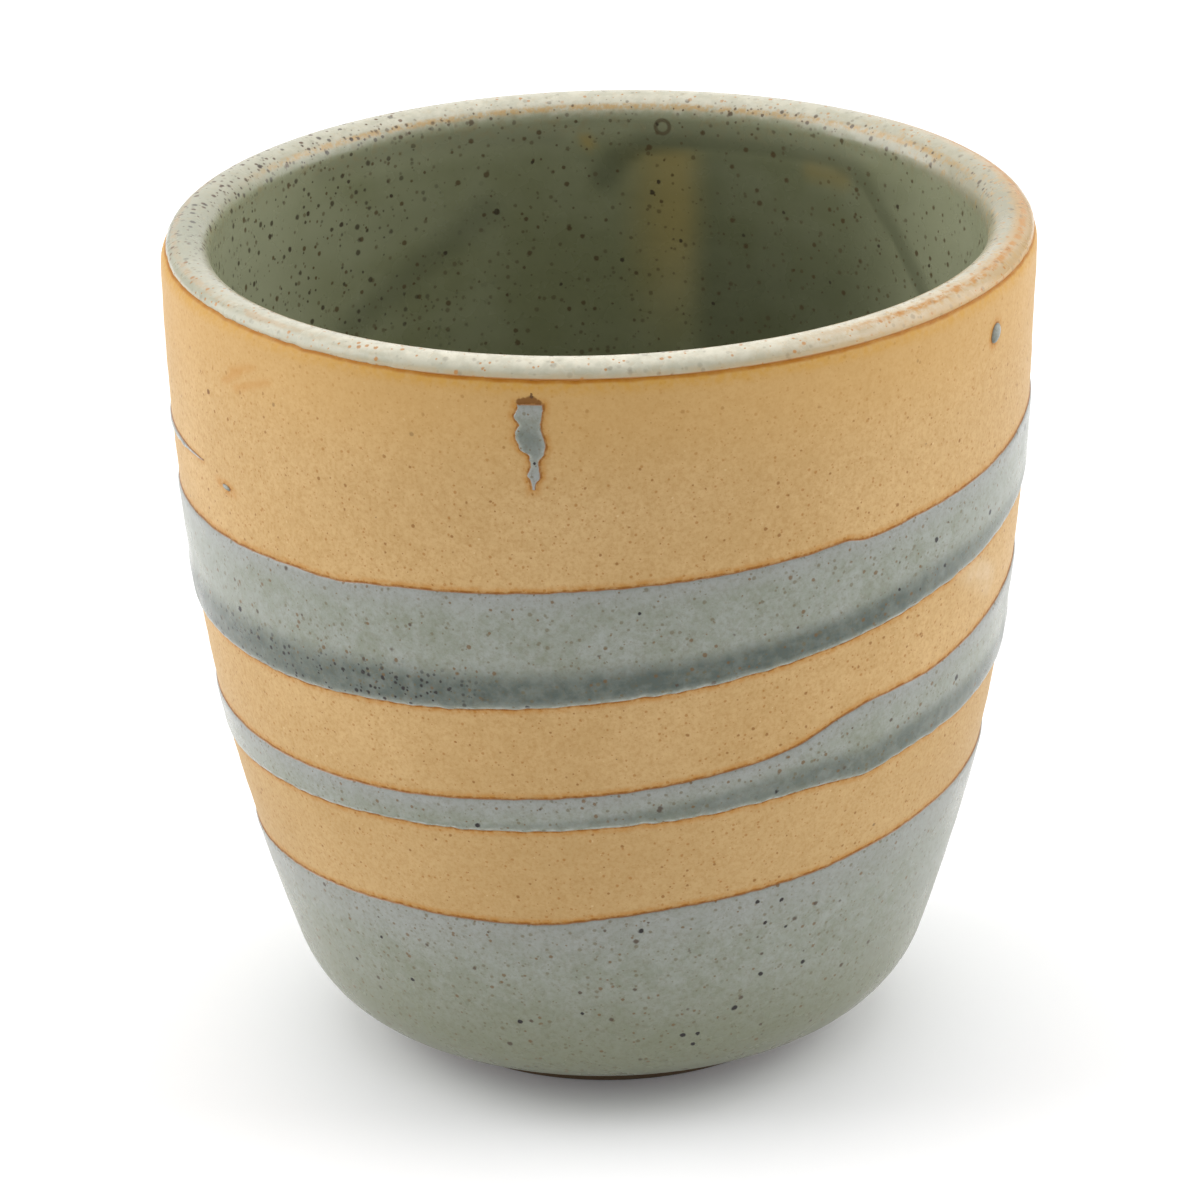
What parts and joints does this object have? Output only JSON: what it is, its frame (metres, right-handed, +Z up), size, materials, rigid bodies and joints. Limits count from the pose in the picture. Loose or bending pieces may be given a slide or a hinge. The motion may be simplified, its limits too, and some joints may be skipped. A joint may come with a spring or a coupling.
{
  "type": "coffee cup",
  "caption": "Handleless hand-thrown stoneware coffee cup: tan clay wall on a turned foot, glazed inside and over the lip, with a glaze stripe spiralling up between bands of bare clay.",
  "frame": {"origin": "on the table under the middle of the foot ring", "axes": "+Z up along the axis the cup was thrown on, -Y towards the front that shows the drip patch, +X to its right"},
  "size_m": [0.088, 0.0882, 0.0868],
  "materials": {
    "bare_clay": "unglazed toasted stoneware, matt to satin",
    "liner_glaze": "olive-grey satin glaze with iron specks",
    "outer_glaze": "grey-green satin glaze with iron specks"
  },
  "bodies": {
    "root": {"clay_body": "bare_clay", "liner_glaze": "liner_glaze", "spiral_glaze": "outer_glaze", "base_glaze": "outer_glaze", "drip_patch": "outer_glaze", "rim_bead": "outer_glaze", "stray_fleck": "outer_glaze"}
  },
  "joints": []
}
